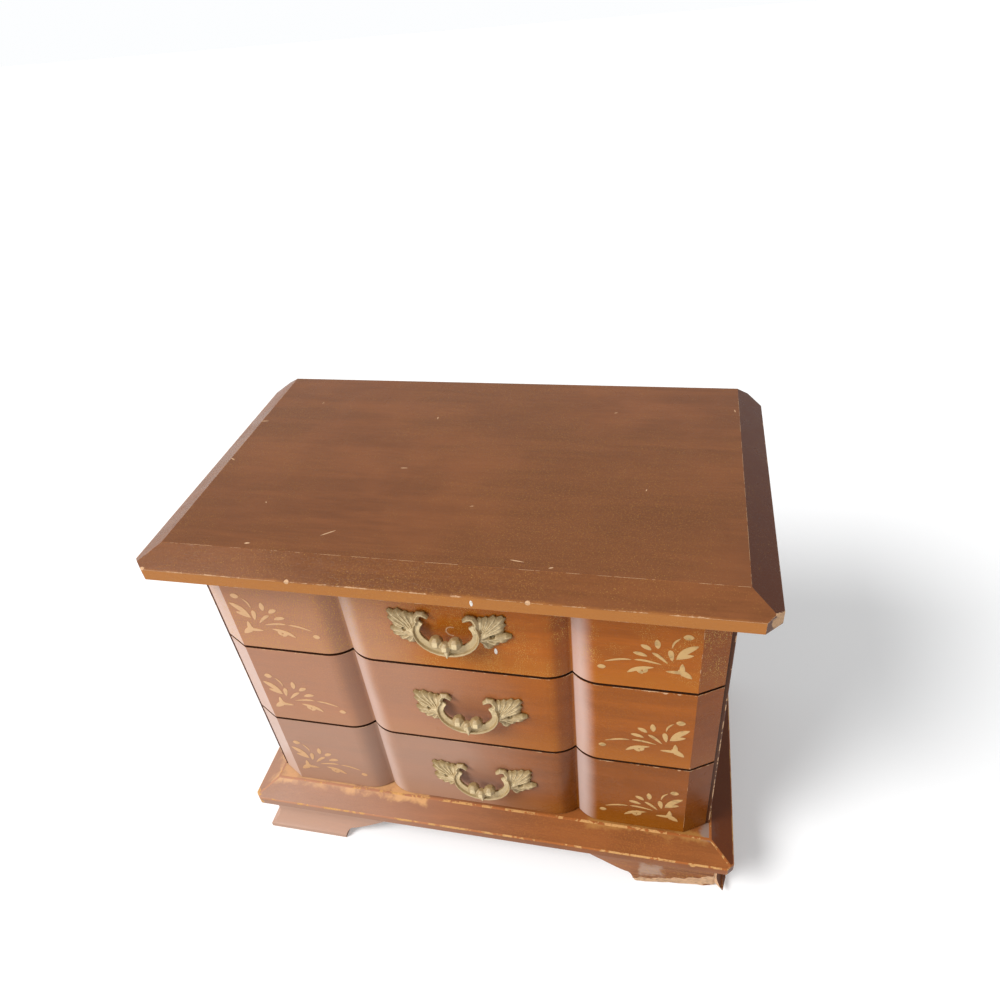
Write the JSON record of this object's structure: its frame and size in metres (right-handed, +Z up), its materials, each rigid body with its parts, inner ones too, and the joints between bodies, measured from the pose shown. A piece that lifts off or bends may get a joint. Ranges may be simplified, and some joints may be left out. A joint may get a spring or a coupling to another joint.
{
  "type": "musical jewelry box",
  "caption": "Block-front musical jewellery chest with a hinged lid over a lined compartment, two drawers, cast brass pulls, bracket feet and a wind-up movement.",
  "frame": {"origin": "on the floor, midway between the overall left and right ends and between the lid's front edge and the winding key's rear end", "axes": "+X to the viewer's right, +Y from the front to the back, +Z up"},
  "size_m": [0.27, 0.1746, 0.2253],
  "materials": {
    "mirror_glass": "polished",
    "gilt_frame": "satin",
    "velvet": "velvet",
    "velvet_cushion": "velvet",
    "antique_brass": "antique satin",
    "hinge_brass": "satin",
    "clear_cover": "gloss",
    "movement_brass": "satin",
    "movement_steel": "brushed",
    "movement_nickel": "polished",
    "lid_wood": "satin lacquer",
    "base_wood": "satin lacquer",
    "front_wood": "satin lacquer",
    "case_wood": "satin lacquer",
    "inner_wood": "plain"
  },
  "bodies": {
    "case": {"back_panel": "inner_wood", "base_board": "base_wood", "case_hinge_screws": "hinge_brass", "comb_screws": "movement_steel", "compartment_floor": "inner_wood", "compartment_lining": "velvet", "drawer_divider": "inner_wood", "false_drawer_front": "front_wood", "false_front_pull": "antique_brass", "false_front_pull_nails": "antique_brass", "foot_glue_blocks": "inner_wood", "front_left_foot_front_bracket": "base_wood", "front_left_foot_side_bracket": "base_wood", "front_right_foot_front_bracket": "base_wood", "front_right_foot_side_bracket": "base_wood", "governor_cock": "movement_brass", "hinge_pins": "hinge_brass", "left_hinge_case_leaf": "hinge_brass", "left_side_panel": "case_wood", "movement_bedplate": "movement_brass", "movement_cover": "clear_cover", "movement_screws": "movement_steel", "rear_left_foot_back_bracket": "base_wood", "rear_left_foot_side_bracket": "base_wood", "rear_right_foot_back_bracket": "base_wood", "rear_right_foot_side_bracket": "base_wood", "right_hinge_case_leaf": "hinge_brass", "right_side_panel": "case_wood", "ring_cushion": "velvet_cushion", "tone_comb": "movement_steel"},
    "middle_drawer": {"middle_drawer_front": "front_wood", "middle_drawer_left_side": "inner_wood", "middle_drawer_right_side": "inner_wood", "middle_drawer_back": "inner_wood", "middle_drawer_bottom": "inner_wood", "middle_drawer_lining": "velvet", "middle_pull": "antique_brass", "middle_pull_nails": "antique_brass"},
    "bottom_drawer": {"bottom_drawer_front": "front_wood", "bottom_drawer_left_side": "inner_wood", "bottom_drawer_right_side": "inner_wood", "bottom_drawer_back": "inner_wood", "bottom_drawer_bottom": "inner_wood", "bottom_drawer_lining": "velvet", "bottom_pull": "antique_brass", "bottom_pull_nails": "antique_brass"},
    "lid": {"lid_board": "lid_wood", "lid_lining": "velvet", "mirror": "mirror_glass", "mirror_frame": "gilt_frame", "left_hinge_lid_leaf": "hinge_brass", "right_hinge_lid_leaf": "hinge_brass", "lid_hinge_screws": "hinge_brass"},
    "winding": {"winding_key": "movement_brass", "winding_arbor": "movement_steel"},
    "barrel": {"spring_barrel": "movement_brass", "mainspring": "movement_steel"},
    "cylinder": {"music_cylinder": "movement_nickel"},
    "fly": {"air_brake_fly": "movement_nickel"},
    "stop": {"stop_rod": "movement_steel"}
  },
  "joints": [
    {"name": "lid_hinge", "type": "hinge", "parent": "case", "child": "lid", "pos_m": [0, 0.0726, 0.21335], "axis": [-1, 0, 0], "range_deg": [0, 95]},
    {"name": "middle_drawer_slide", "type": "slide", "parent": "case", "child": "middle_drawer", "axis": [0, -1, 0], "range_m": [0, 0.095]},
    {"name": "bottom_drawer_slide", "type": "slide", "parent": "case", "child": "bottom_drawer", "axis": [0, -1, 0], "range_m": [0, 0.095]},
    {"name": "winding_key_turn", "type": "hinge", "parent": "case", "child": "winding", "pos_m": [-0.09513, 0.07025, 0.17494], "axis": [0, 1, 0], "continuous": true},
    {"name": "barrel_turn", "type": "hinge", "parent": "case", "child": "barrel", "pos_m": [-0.09513, 0.05545, 0.17494], "axis": [0, 1, 0], "continuous": true},
    {"name": "cylinder_turn", "type": "hinge", "parent": "case", "child": "cylinder", "pos_m": [-0.07488, 0.05305, 0.17494], "axis": [0, 1, 0], "continuous": true},
    {"name": "fly_turn", "type": "hinge", "parent": "case", "child": "fly", "pos_m": [-0.06553, 0.02705, 0.18454], "axis": [0, 0, 1], "continuous": true},
    {"name": "stop_rod_lift", "type": "slide", "parent": "case", "child": "stop", "axis": [0, 0, 1], "range_m": [0, 0.003]}
  ],
  "couplings": [
    {"joint": "cylinder_turn", "follows": "barrel_turn", "ratio": -2.75},
    {"joint": "fly_turn", "follows": "barrel_turn", "ratio": 13.75},
    {"joint": "stop_rod_lift", "follows": "lid_hinge", "m_per_rad": 0.0018}
  ]
}
